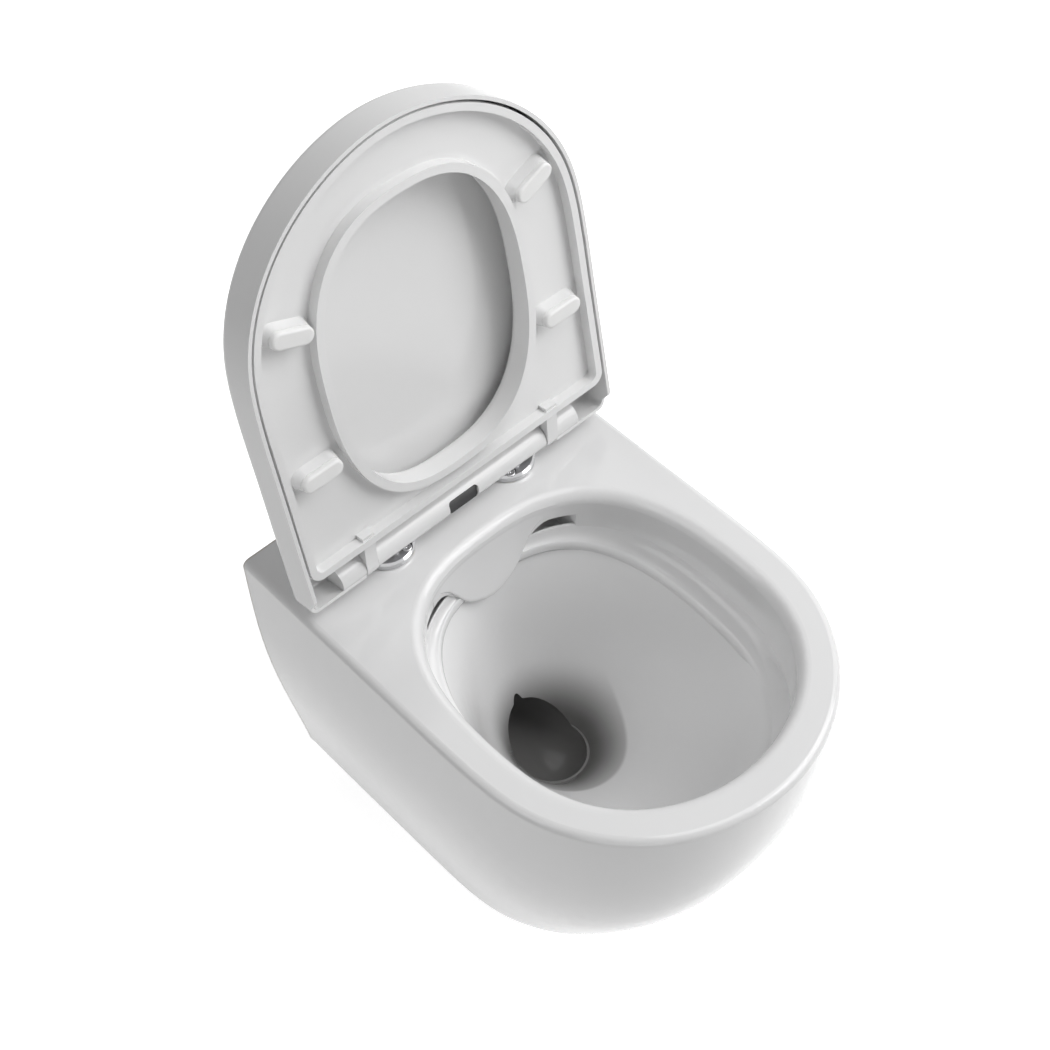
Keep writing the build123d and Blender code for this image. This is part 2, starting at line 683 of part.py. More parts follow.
# Hinge bar: sockets for the posts, pocket for the button, channels for the latches, damper bores
with BuildPart() as hinge_bar:
    with BuildSketch(Plane(origin=(-BAR_HALF_LENGTH, HINGE_Y, HINGE_Z), z_dir=(1, 0, 0))):
        Circle(BAR_RADIUS)
    extrude(amount=2 * BAR_HALF_LENGTH)
    chamfer(hinge_bar.edges().filter_by(GeomType.CIRCLE), BAR_END_CHAMFER)
    for side in (-1, 1):
        with BuildSketch(
            Plane(origin=(side * BAR_HALF_LENGTH, HINGE_Y, HINGE_Z), x_dir=(0, 1, 0), z_dir=(side, 0, 0))
        ):
            Circle(DAMPER_RADIUS + DAMPER_CLEARANCE)
            with Locations((0, side * DAMPER_RADIUS)):
                Rectangle(
                    DAMPER_KEY_WIDTH + 2 * DAMPER_CLEARANCE, 2 * (DAMPER_KEY_HEIGHT + DAMPER_CLEARANCE)
                )
        extrude(amount=-DAMPER_LENGTH - DAMPER_CLEARANCE, mode=Mode.SUBTRACT)
        with Locations((side * POST_X, HINGE_Y, HINGE_Z - BAR_RADIUS)):
            Cylinder(
                POST_RADIUS + SOCKET_CLEARANCE,
                POST_TOP_Z + 1 - HINGE_Z + BAR_RADIUS,
                align=(Align.CENTER, Align.CENTER, Align.MIN),
                mode=Mode.SUBTRACT,
            )
    with BuildSketch(press_plane.offset(POCKET_FLOOR)):
        RectangleRounded(
            2 * (BUTTON_HALF_WIDTH + BUTTON_CLEARANCE),
            2 * (BUTTON_HALF_HEIGHT + BUTTON_CLEARANCE),
            BUTTON_CORNER_RADIUS + BUTTON_CLEARANCE,
        )
    extrude(amount=-POCKET_FLOOR - BAR_RADIUS, mode=Mode.SUBTRACT)
    with BuildSketch(button_plane.offset(-LATCH_THICKNESS / 2 - LATCH_CLEARANCE)):
        Rectangle(2 * POST_X, LATCH_WIDTH + 2 * LATCH_CLEARANCE)
    extrude(amount=LATCH_THICKNESS + 2 * LATCH_CLEARANCE, mode=Mode.SUBTRACT)
write(hinge_bar.part, "hinge_bar")

# Release button: face, two cheeks and a pin between them for each latch
with BuildPart() as release_button:
    with BuildSketch(press_plane.offset(BUTTON_FACE)):
        RectangleRounded(2 * BUTTON_HALF_WIDTH, 2 * BUTTON_HALF_HEIGHT, BUTTON_CORNER_RADIUS)
    extrude(amount=BUTTON_REAR - BUTTON_FACE)
    with BuildSketch(Plane(origin=(-BUTTON_HALF_WIDTH, HINGE_Y, HINGE_Z), x_dir=PRESS_DIRECTION, z_dir=(1, 0, 0))):
        with Locations((BUTTON_FACE - BUTTON_DISH_RADIUS + BUTTON_DISH_DEPTH, 0)):
            Circle(BUTTON_DISH_RADIUS)
    extrude(amount=2 * BUTTON_HALF_WIDTH, mode=Mode.SUBTRACT)
    with BuildSketch(button_plane.offset(-LATCH_THICKNESS / 2 - LATCH_CLEARANCE)):
        with Locations((0, (BUTTON_SLOT_END + BUTTON_REAR) / 2)):
            Rectangle(2 * BUTTON_HALF_WIDTH, BUTTON_REAR - BUTTON_SLOT_END)
    extrude(amount=LATCH_THICKNESS + 2 * LATCH_CLEARANCE, mode=Mode.SUBTRACT)
    with BuildSketch(button_plane.offset(-LATCH_THICKNESS / 2 - LATCH_CLEARANCE)):
        with Locations((-LATCH_PIN_X, LATCH_PIN_REST), (LATCH_PIN_X, LATCH_PIN_REST)):
            Circle(LATCH_PIN_RADIUS)
    extrude(amount=LATCH_THICKNESS + 2 * LATCH_CLEARANCE)
    with BuildSketch(press_plane.offset(BUTTON_REAR)):
        with Locations((0, -SPRING_OFFSET), (0, SPRING_OFFSET)):
            Circle(SPRING_POCKET_RADIUS)
    extrude(amount=-SPRING_POCKET_DEPTH, mode=Mode.SUBTRACT)
write(release_button.part, "release_button")

# Two coil springs that return the button
with BuildPart() as button_springs:
    spring_start = BUTTON_REAR - SPRING_POCKET_DEPTH + SPRING_WIRE_RADIUS
    spring_length = POCKET_FLOOR - SPRING_WIRE_RADIUS - spring_start
    for side in (-1, 1):
        coil_plane = press_plane.offset(spring_start)
        coil_centre = coil_plane.from_local_coords((0, side * SPRING_OFFSET, 0))
        with BuildLine() as coil:
            Helix(
                spring_length / SPRING_TURNS,
                spring_length,
                SPRING_COIL_RADIUS,
                center=coil_centre,
                direction=PRESS_DIRECTION,
            )
        with BuildSketch(Plane(origin=coil.edges()[0] @ 0, z_dir=coil.edges()[0] % 0)):
            Circle(SPRING_WIRE_RADIUS)
        sweep(path=coil.edges()[0], is_frenet=True)
write(button_springs.part, "button_springs")

# Latches: a strip that runs out to the post's neck, with a slanted slot for the button's pin
for side, side_name in ((-1, "left"), (1, "right")):
    with BuildPart() as latch:
        with BuildSketch(button_plane.offset(-LATCH_THICKNESS / 2)):
            tip_x = POST_X - POST_NECK_RADIUS - LATCH_TIP_GAP
            with Locations((side * (LATCH_HEAD_INNER_X + tip_x) / 2, 0)):
                Rectangle(tip_x - LATCH_HEAD_INNER_X, LATCH_WIDTH)
            with Locations(
                (
                    side * (LATCH_HEAD_INNER_X + LATCH_HEAD_OUTER_X) / 2,
                    (LATCH_HEAD_FRONT + LATCH_HEAD_BACK) / 2,
                )
            ):
                Rectangle(LATCH_HEAD_OUTER_X - LATCH_HEAD_INNER_X, LATCH_HEAD_BACK - LATCH_HEAD_FRONT)
            with Locations((side * (LATCH_PIN_X + BUTTON_TRAVEL / 2), LATCH_PIN_REST + BUTTON_TRAVEL / 2)):
                SlotCenterToCenter(
                    BUTTON_TRAVEL * math.sqrt(2),
                    2 * (LATCH_PIN_RADIUS + PIN_CLEARANCE),
                    rotation=side * 45,
                    mode=Mode.SUBTRACT,
                )
        extrude(amount=LATCH_THICKNESS)
    write(latch.part, f"latch_{side_name}")

# Soft-close dampers: a keyed cartridge in each end of the bar, and a spindle with flats for its own lid
for side, damper_name, flat_start_x, flat_end_x in (
    (-1, "seat_damper", EAR_INNER_X, EAR_OUTER_X),
    (1, "cover_damper", KNUCKLE_INNER_X, SPINDLE_END_X),
):
    end_plane = Plane(origin=(0, HINGE_Y, HINGE_Z), x_dir=(0, 1, 0), z_dir=(side, 0, 0))
    with BuildPart() as damper:
        with BuildSketch(end_plane.offset(DAMPER_INNER_X)):
            Circle(DAMPER_RADIUS)
            with Locations((0, side * DAMPER_RADIUS)):
                Rectangle(DAMPER_KEY_WIDTH, 2 * DAMPER_KEY_HEIGHT)
        extrude(amount=DAMPER_LENGTH)
        with BuildSketch(end_plane.offset(BAR_HALF_LENGTH)):
            Circle(SPINDLE_RADIUS + RUNNING_CLEARANCE)
        extrude(amount=-SPINDLE_DEPTH, mode=Mode.SUBTRACT)
    write(damper.part, damper_name)

    with BuildPart() as spindle:
        with BuildSketch(end_plane.offset(BAR_HALF_LENGTH - SPINDLE_DEPTH + DAMPER_CLEARANCE)):
            Circle(SPINDLE_RADIUS)
        extrude(amount=SPINDLE_END_X - BAR_HALF_LENGTH + SPINDLE_DEPTH - DAMPER_CLEARANCE)
        with BuildSketch(end_plane.offset(flat_start_x)):
            Circle(SPINDLE_FLAT_RADIUS)
            Rectangle(2 * SPINDLE_FLAT_HALF_WIDTH, 2 * SPINDLE_FLAT_RADIUS, mode=Mode.INTERSECT)
        extrude(amount=flat_end_x - flat_start_x)
    write(raised(spindle.part), f"{damper_name}_spindle")

# Seat ring: a domed ring with a trough underneath, bosses for the bumpers and an ear at each end
with BuildPart() as seat_ring:
    with BuildSketch(Plane.XY.offset(SEAT_BOTTOM_Z)):
        with BuildLine():
            seat_line = Spline(*seat_outline(0))
            Line(seat_line @ 1, seat_line @ 0)
        make_face()
        fillet(vertices(), SEAT_CORNER_RADIUS)
        with BuildLine():
            Spline(*seat_opening_outline(0), periodic=True)
        make_face(mode=Mode.SUBTRACT)
    extrude(amount=SEAT_TOP_Z - SEAT_BOTTOM_Z)
    opening_edges = seat_ring.edges().group_by(Axis.Z)[-1].filter_by(
        lambda edge: edge.bounding_box().max.X < SEAT_OPENING_HALF_WIDTH + 1
        and edge.bounding_box().min.Y > SEAT_OPENING_FRONT_Y - 1
        and edge.bounding_box().max.Y < SEAT_OPENING_BACK_Y + 1
    )
    fillet(opening_edges, SEAT_OPENING_RADIUS)
    outer_edges = seat_ring.edges().group_by(Axis.Z)[-1].filter_by(
        lambda edge: edge.bounding_box().max.Y > SEAT_OPENING_BACK_Y + 1
        or edge.bounding_box().max.X > SEAT_OPENING_HALF_WIDTH + 1
    )
    fillet(outer_edges, SEAT_TOP_RADIUS)
    with BuildSketch(Plane.XY.offset(SEAT_BOTTOM_Z)):
        with BuildLine():
            trough_line = Spline(*seat_outline(SEAT_OUTER_LIP))
            Line(trough_line @ 1, trough_line @ 0)
        make_face()
        fillet(vertices(), SEAT_CORNER_RADIUS - SEAT_OUTER_LIP + 2)
        with BuildLine():
            Spline(*seat_opening_outline(SEAT_INNER_LIP), periodic=True)
        make_face(mode=Mode.SUBTRACT)
    extrude(amount=SEAT_TROUGH_DEPTH, mode=Mode.SUBTRACT)

    # Bosses that carry the bumpers, standing in the trough and spreading towards its floor
    for boss_x, boss_y, toe_in in BUMPER_PLACES:
        for side in (-1, 1):
            boss_plane = Plane(
                origin=(side * boss_x, boss_y, BOSS_TOP_Z), z_dir=(0, 0, 1)
            ).rotated((0, 0, -side * toe_in))
            with BuildSketch(boss_plane):
                SlotOverall(BUMPER_LENGTH + 1, BUMPER_WIDTH + 1)
            extrude(amount=SEAT_BOTTOM_Z + SEAT_TROUGH_DEPTH - BOSS_TOP_Z + 1, taper=-BOSS_TAPER)
            with BuildSketch(boss_plane):
                with Locations((-BUMPER_LENGTH / 4, 0), (BUMPER_LENGTH / 4, 0)):
                    Circle(BUMPER_PEG_RADIUS + FIT_CLEARANCE)
            extrude(amount=BUMPER_PEG_LENGTH + FIT_CLEARANCE, mode=Mode.SUBTRACT)

    # Ears round the hinge axis
    for side in (-1, 1):
        with BuildSketch(
            Plane(origin=(side * EAR_INNER_X, 0, 0), x_dir=(0, 1, 0), z_dir=(1, 0, 0))
        ):
            with Locations((HINGE_Y, HINGE_Z)):
                Circle(EAR_RADIUS)
            with BuildLine():
                Polyline(
                    (HINGE_Y, HINGE_Z + EAR_RADIUS),
                    (EAR_ROOT_Y, SEAT_TOP_Z - 1),
                    (EAR_ROOT_Y, SEAT_BOTTOM_Z + 1),
                    (HINGE_Y, HINGE_Z - EAR_RADIUS),
                    close=True,
                )
            make_face()
        extrude(amount=side * (EAR_OUTER_X - EAR_INNER_X))
        with BuildSketch(
            Plane(origin=(side * EAR_INNER_X, HINGE_Y, HINGE_Z), x_dir=(0, 1, 0), z_dir=(1, 0, 0))
        ):
            if side < 0:
                Circle(SPINDLE_FLAT_RADIUS + FIT_CLEARANCE)
                Rectangle(
                    2 * (SPINDLE_FLAT_HALF_WIDTH + FIT_CLEARANCE),
                    4 * SPINDLE_FLAT_RADIUS,
                    mode=Mode.INTERSECT,
                )
            else:
                Circle(SPINDLE_RADIUS + RUNNING_CLEARANCE)
        extrude(amount=side * (EAR_OUTER_X - EAR_INNER_X), mode=Mode.SUBTRACT)
write(raised(seat_ring.part), "seat_ring")

with BuildPart() as seat_bumpers:
    for bumper_x, bumper_y, toe_in in BUMPER_PLACES:
        for side in (-1, 1):
            bumper_plane = Plane(
                origin=(side * bumper_x, bumper_y, BOSS_TOP_Z), z_dir=(0, 0, 1)
            ).rotated((0, 0, -side * toe_in))
            with BuildSketch(bumper_plane):
                SlotOverall(BUMPER_LENGTH, BUMPER_WIDTH)
            extrude(amount=BUMPER_FOOT_Z - BOSS_TOP_Z)
    fillet(seat_bumpers.edges().group_by(Axis.Z)[0], BUMPER_EDGE_RADIUS)
    for bumper_x, bumper_y, toe_in in BUMPER_PLACES:
        for side in (-1, 1):
            bumper_plane = Plane(
                origin=(side * bumper_x, bumper_y, BOSS_TOP_Z), z_dir=(0, 0, 1)
            ).rotated((0, 0, -side * toe_in))
            with BuildSketch(bumper_plane):
                with Locations((-BUMPER_LENGTH / 4, 0), (BUMPER_LENGTH / 4, 0)):
                    Circle(BUMPER_PEG_RADIUS)
            extrude(amount=BUMPER_PEG_LENGTH)
write(raised(seat_bumpers.part), "seat_bumpers")

# Cover: a shallow lid that wraps the seat, open at the back between its two knuckles
with BuildPart() as cover:
    with BuildSketch(Plane.XY.offset(COVER_RIM_Z)):
        with BuildLine():
            cover_line = Spline(*cover_outline(0))
            Line(cover_line @ 1, cover_line @ 0)
        make_face()
        fillet(vertices(), COVER_CORNER_RADIUS)
    extrude(amount=COVER_TOP_Z - COVER_RIM_Z)
    fillet(cover.edges().group_by(Axis.Z)[-1], COVER_EDGE_RADIUS)
    with BuildSketch(Plane.XY.offset(COVER_RIM_Z)) as hollow_sketch:
        with BuildLine():
            inner_line = Spline(*cover_outline(COVER_WALL))
            Line(inner_line @ 1, inner_line @ 0)
        make_face()
        fillet(vertices(), COVER_CORNER_RADIUS - COVER_WALL)
    extrude(amount=COVER_TOP_Z - COVER_CEILING - COVER_RIM_Z, mode=Mode.SUBTRACT)
    ceiling_edges = cover.edges().filter_by(
        lambda edge: abs(edge.bounding_box().min.Z - COVER_TOP_Z + COVER_CEILING) < 0.01
        and abs(edge.bounding_box().max.Z - COVER_TOP_Z + COVER_CEILING) < 0.01
    )
    fillet(ceiling_edges, COVER_INSIDE_RADIUS)

    # Opening in the back wall between the knuckles, and the rim that rises towards the back
    with BuildSketch(Plane.XY.offset(COVER_RIM_Z)):
        with Locations((0, COVER_BACK_Y)):
            Rectangle(2 * KNUCKLE_INNER_X, 2 * COVER_BACK_WALL_DEPTH)
    extrude(amount=COVER_TOP_Z - COVER_CEILING - COVER_RIM_Z, mode=Mode.SUBTRACT)
    with BuildSketch(Plane.YZ):
        with BuildLine():
            FilletPolyline(
                (COVER_BACK_RIM_START_Y, COVER_RIM_Z),
                (COVER_BACK_RIM_TURN_Y, COVER_RIM_Z),
                (COVER_BACK_RIM_TURN_Y + COVER_BACK_RIM_Z - COVER_RIM_Z, COVER_BACK_RIM_Z),
                (COVER_BACK_Y + 1, COVER_BACK_RIM_Z),
                radius=COVER_BACK_RIM_RADIUS,
            )
            Polyline(
                (COVER_BACK_Y + 1, COVER_BACK_RIM_Z),
                (COVER_BACK_Y + 1, COVER_RIM_Z - 1),
                (COVER_BACK_RIM_START_Y, COVER_RIM_Z - 1),
                (COVER_BACK_RIM_START_Y, COVER_RIM_Z),
            )
        make_face()
    extrude(amount=COVER_HALF_WIDTH, both=True, mode=Mode.SUBTRACT)

    # Knuckles round the hinge axis, with a round bore on one side and a flatted one on the other
    for side in (-1, 1):
        with BuildSketch(
            Plane(origin=(side * KNUCKLE_INNER_X, 0, 0), x_dir=(0, 1, 0), z_dir=(1, 0, 0))
        ):
            with Locations((HINGE_Y, HINGE_Z)):
                Circle(KNUCKLE_RADIUS)
            with BuildLine():
                Polyline(
                    (HINGE_Y - KNUCKLE_RADIUS, HINGE_Z),
                    (HINGE_Y - KNUCKLE_RADIUS, COVER_TOP_Z - COVER_CEILING),
                    (COVER_BACK_Y - 1, COVER_TOP_Z - COVER_CEILING),
                    (COVER_BACK_Y - 1, HINGE_Z),
                    close=True,
                )
            make_face()
        extrude(amount=side * (KNUCKLE_OUTER_X - KNUCKLE_INNER_X))
        with BuildSketch(
            Plane(origin=(side * KNUCKLE_INNER_X, HINGE_Y, HINGE_Z), x_dir=(0, 1, 0), z_dir=(1, 0, 0))
        ):
            if side > 0:
                Circle(SPINDLE_FLAT_RADIUS + FIT_CLEARANCE)
                Rectangle(
                    2 * (SPINDLE_FLAT_HALF_WIDTH + FIT_CLEARANCE),
                    4 * SPINDLE_FLAT_RADIUS,
                    mode=Mode.INTERSECT,
                )
            else:
                Circle(SPINDLE_RADIUS + RUNNING_CLEARANCE)
        extrude(amount=side * KNUCKLE_BORE_DEPTH, mode=Mode.SUBTRACT)
write(raised(cover.part), "cover")

with BuildPart() as cover_buffers:
    for buffer_x, buffer_y in BUFFER_PLACES:
        for side in (-1, 1):
            with Locations((side * buffer_x, buffer_y, COVER_TOP_Z - COVER_CEILING)):
                Cylinder(
                    BUFFER_RADIUS,
                    COVER_TOP_Z - COVER_CEILING - SEAT_TOP_Z - BUFFER_GAP,
                    align=(Align.CENTER, Align.CENTER, Align.MAX),
                )
write(raised(cover_buffers.part), "cover_buffers")
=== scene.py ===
"""Looks of a wall-hung rimless WC pan, seat and cover up: finishes, stage, lamps and camera.

Metres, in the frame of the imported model: X to the right, -Y out of the wall, +Z up.
"""

import math

import bmesh
import bpy
from mathutils import Matrix, Vector


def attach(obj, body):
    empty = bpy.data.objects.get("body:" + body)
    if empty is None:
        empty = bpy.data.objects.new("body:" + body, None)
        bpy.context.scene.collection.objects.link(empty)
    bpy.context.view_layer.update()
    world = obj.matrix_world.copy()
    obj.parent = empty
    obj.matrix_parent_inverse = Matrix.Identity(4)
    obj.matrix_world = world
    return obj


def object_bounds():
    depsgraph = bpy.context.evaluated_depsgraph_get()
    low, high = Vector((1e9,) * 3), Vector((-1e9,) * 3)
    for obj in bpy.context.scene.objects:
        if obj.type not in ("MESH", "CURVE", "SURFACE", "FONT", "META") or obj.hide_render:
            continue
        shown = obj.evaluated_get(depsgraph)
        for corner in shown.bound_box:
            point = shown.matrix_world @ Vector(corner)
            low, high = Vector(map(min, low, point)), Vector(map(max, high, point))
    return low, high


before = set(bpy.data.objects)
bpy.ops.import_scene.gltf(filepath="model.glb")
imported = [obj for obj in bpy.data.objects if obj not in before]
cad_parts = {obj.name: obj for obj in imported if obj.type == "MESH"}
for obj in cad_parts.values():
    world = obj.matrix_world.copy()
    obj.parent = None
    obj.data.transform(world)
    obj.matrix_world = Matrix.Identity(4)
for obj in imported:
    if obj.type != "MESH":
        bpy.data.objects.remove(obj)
cad_low, cad_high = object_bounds()

MM = 0.001

# Camera: its direction seen from the object, its roll in degrees, its place, lens and shift
CAMERA_AZIMUTH = -43.30
CAMERA_ELEVATION = 51.445
CAMERA_ROLL = -0.055
CAMERA_PLACE = (-0.77477, -1.01772, 1.58846)
CAMERA_LENS = 72.03
CAMERA_SENSOR = 36
CAMERA_SHIFT = (-0.01042, -0.00894)

# Floor of the room, under a pan hung with its deck at the usual height
DECK_Z = 80 * MM
RIM_HEIGHT = 400 * MM
FLOOR_Z = DECK_Z - RIM_HEIGHT
FLOOR_HALF = 9.0
FLOOR_COLOUR = 0.62
FLOOR_TOP_UP = 0.86
ROOM_FILL = 0.03

# Softboxes: name, azimuth and elevation seen from the object, distance, width, height, watts
SOFTBOXES = (
    ("key_right_front", 48, 38, 2.6, 1.8, 1.8, 40),
    ("overhead_right", 60, 65, 2.6, 1.8, 1.8, 24),
    ("side_right", 95, 30, 2.6, 1.8, 1.8, 11),
    ("side_left", -100, 30, 2.6, 1.8, 1.8, 15),
    ("back_top", 160, 60, 2.6, 1.8, 1.8, 4),
    ("low_front", -45, -10, 2.6, 1.8, 1.2, 21),
)

# Opening of the bowl at the deck, as the CAD has it: half width, widest line, reach to the front
# and to the back, and how square its front and back curves are, where 2 is an ellipse
OPENING_HALF_WIDTH = 144 * MM
OPENING_WIDEST_Y = -300 * MM
OPENING_FRONT_REACH = 158 * MM
OPENING_BACK_REACH = 172 * MM
OPENING_FRONT_ACROSS = 1.98
OPENING_FRONT_ALONG = 2.5
OPENING_BACK_POWER = 2.6

# Deflector lobe's lower edge: distance out from the middle and drop below the deck, in millimetres
LOBE_EDGE = (
    (0, 82), (10, 80.3), (20, 75.2), (28, 69.2), (34, 62.5), (39, 54.5), (44, 46),
    (48, 39.5), (52, 34.2), (58, 28.6), (64, 24.6), (74, 19.6), (84, 16),
)
LOBE_HALF_WIDTH = LOBE_EDGE[-1][0] * MM
LOBE_TOP_DROP = 9 * MM
LOBE_TOP_SHIFT = 1.0 * MM
LOBE_LEAN = 12.0 / 73
LOBE_THICKNESS = 9 * MM
LOBE_LIP_RADIUS = 4 * MM
LOBE_LIP_ANGLES = (20, 40, 60, 78, 90)
# From this far out the lobe sinks back into the wall, by this much at its ends
LOBE_MERGE_START = 56 * MM
LOBE_MERGE_DEPTH = 1.5 * MM
LOBE_COLUMNS = 84
LOBE_ROWS = 14

# Flush channel along the wall: its width at the sides, front and back, and the heights of its edges
CHANNEL_WIDTH = 19 * MM
CHANNEL_FRONT_WIDTH = 11 * MM
CHANNEL_BACK_WIDTH = 4 * MM
CHANNEL_OUTER_BACK_Z = 30 * MM
CHANNEL_OUTER_FRONT_Z = 6 * MM
CHANNEL_INNER_BACK_Z = 24 * MM
CHANNEL_INNER_FRONT_Z = -11 * MM
# Its section: share of the way across and millimetres over the line between its edges
CHANNEL_SECTION = (
    (-0.20, 9.0), (-0.02, 7.6), (0.05, 4.4), (0.16, 1.9), (0.32, 0.8),
    (0.55, 0.9), (0.74, 1.8), (0.86, 2.9), (0.93, 3.1), (1.00, 2.6),
    (1.06, 1.2), (1.14, -4.0), (0.95, -9.0), (0.4, -7.0), (-0.2, -4.0),
)
# Towards the front it fades between these lines and sinks into the bowl
CHANNEL_FADE_START_Y = -320 * MM
CHANNEL_FADE_END_Y = -425 * MM
CHANNEL_SUNK = 1.5 * MM
CHANNEL_STEPS = 180

# Painted shade in the trapway: the heights between which the passage below the bowl is painted
# darker, standing in for the shade deep in it, and how far out it reaches
TRAPWAY_TOP_Z = -104 * MM
TRAPWAY_DARK_Z = -176 * MM
TRAPWAY_FLOOR_Z = -232 * MM
TRAPWAY_FLOOR_FADE = 4 * MM
TRAPWAY_CENTRE_Y = -190 * MM
TRAPWAY_HALF_WIDTH = 74 * MM
TRAPWAY_REACH = 112 * MM
TRAPWAY_SOFT_EDGE = 0.9

# Glazed ceramic: the glaze stops a little short of the wall face, on a wandering line
GLAZE_COLOUR = (0.80, 0.80, 0.802)
BISQUE_COLOUR = (0.74, 0.715, 0.67)
# Painted shade: this dark colour, laid deep in the trapway, stands in for the shade there
TRAPWAY_SHADE_COLOUR = (0.2, 0.198, 0.195, 1)
BARE_START_Y = -1.4 * MM
BARE_END_Y = -0.6 * MM
BARE_WANDER = 1.2 * MM
BISQUE_ROUGHNESS = 0.8
BISQUE_DEPTH = 0.15 * MM
GLAZE_FLOW_DEPTH = 0.10 * MM
GLAZE_PEEL_DEPTH = 0.012 * MM

# Chrome of the discs: a polished rim round a satin top, which is where the face looks up; the satin
# is real, while the top's colour darker than chrome is painted shade that dims what it reflects
CHROME_RIM_COLOUR = (0.56, 0.56, 0.57, 1)
CHROME_TOP_SHADED_COLOUR = (0.40, 0.40, 0.41, 1)
CHROME_RIM_ROUGHNESS = 0.12
CHROME_TOP_START = 0.96
CHROME_TOP_END = 0.995


class Val:
    """A shader value that takes part in sums: each operator adds its Math node."""

    def __init__(self, graph, socket):
        self.graph = graph
        self.socket = socket

    def _math(self, operation, *terms):
        return self.graph.add("ShaderNodeMath", {"operation": operation}, dict(enumerate(terms)))

    def __add__(self, other):
        return self._math("ADD", self, other)

    def __radd__(self, other):
        return self._math("ADD", other, self)

    def __sub__(self, other):
        return self._math("SUBTRACT", self, other)

    def __rsub__(self, other):
        return self._math("SUBTRACT", other, self)

    def __mul__(self, other):
        return self._math("MULTIPLY", self, other)

    def __rmul__(self, other):
        return self._math("MULTIPLY", other, self)

    def larger(self, other):
        return self._math("MAXIMUM", self, other)

    def ramp(self, start, end):
        """0 up to start, 1 from end on, smooth between them."""
        return self.graph.add(
            "ShaderNodeMapRange",
            {"interpolation_type": "SMOOTHSTEP", "clamp": True},
            {"Value": self, "From Min": start, "From Max": end, "To Min": 0.0, "To Max": 1.0},
        )

    def between(self, low, high):
        """A 0 to 1 value spread over another range."""
        return self * (high - low) + low


class Graph:
    """The nodes of one finish."""

    def __init__(self, tree):
        self.tree = tree
        tree.nodes.clear()

    def add(self, kind, settings=None, sockets=None, output=0):
        """A node of that kind: its settings first, then the values or links of its sockets."""
        node = self.tree.nodes.new(kind)
        for name, value in (settings or {}).items():
            setattr(node, name, value)
        for name, value in (sockets or {}).items():
            socket = node.inputs[name]
            if isinstance(value, Val):
                self.tree.links.new(value.socket, socket)
            else:
                socket.default_value = value
        return Val(self, node.outputs[output]) if len(node.outputs) else None

    def place(self):
        """Place on the piece, in metres, that rides with it."""
        return self.add("ShaderNodeTexCoord", output="Object")

    def part(self, vector, axis):
        """One coordinate of a place."""
        return self.add("ShaderNodeSeparateXYZ", sockets={"Vector": vector}, output=axis)

    def noise(self, place, size, detail=3.0, roughness=0.5):
        """Soft noise from 0 to 1 whose blotches are about as wide as size, in metres."""
        return self.add(
            "ShaderNodeTexNoise",
            {"noise_dimensions": "3D"},
            {"Vector": place, "Scale": 1 / size, "Detail": detail, "Roughness": roughness},
        )

    def grey(self, value):
        """A grey as light as the value."""
        sockets = {"Red": value, "Green": value, "Blue": value}
        return self.add("ShaderNodeCombineColor", sockets=sockets)

    def mix(self, share, first, second):
        """Two colours mixed."""
        return self.add(
            "ShaderNodeMix",
            {"data_type": "RGBA"},
            {"Factor": share, 6: first, 7: second},
            output=2,
        )

    def tint(self, colour, value):
        """A colour made darker or lighter by a value."""
        return self.add(
            "ShaderNodeVectorMath", {"operation": "SCALE"}, {"Vector": colour, "Scale": value}
        )

    def bump(self, height, depth, normal=None):
        """Normal of a surface whose relief is height, from 0 to 1, times depth in metres."""
        sockets = {"Height": height, "Distance": depth, "Strength": 1.0}
        if normal is not None:
            sockets["Normal"] = normal
        return self.add("ShaderNodeBump", sockets=sockets)


def new_finish(name):
    """An empty material and its graph."""
    material = bpy.data.materials.new(name)
    material.use_nodes = True
    return material, Graph(material.node_tree)


def close_finish(graph, **sockets):
    """Joins the surface shader to the output; sockets are named with _ for a space."""
    named = {name.replace("_", " "): value for name, value in sockets.items()}
    surface = graph.add("ShaderNodeBsdfPrincipled", sockets=named)
    graph.add("ShaderNodeOutputMaterial", sockets={"Surface": surface})


def trapway_shade_share(g, place):
    """Share of painted shade: 1 deep in the passage below the bowl, 0 elsewhere."""
    across = g.part(place, "X") * (1 / TRAPWAY_HALF_WIDTH)
    along = (g.part(place, "Y") - TRAPWAY_CENTRE_Y) * (1 / TRAPWAY_REACH)
    height = g.part(place, "Z")
    inside = 1 - (across * across + along * along).ramp(TRAPWAY_SOFT_EDGE, 1.0)
    deep = 1 - height.ramp(TRAPWAY_DARK_Z, TRAPWAY_TOP_Z)
    above_floor = height.ramp(TRAPWAY_FLOOR_Z - TRAPWAY_FLOOR_FADE, TRAPWAY_FLOOR_Z)
    return inside * deep * above_floor


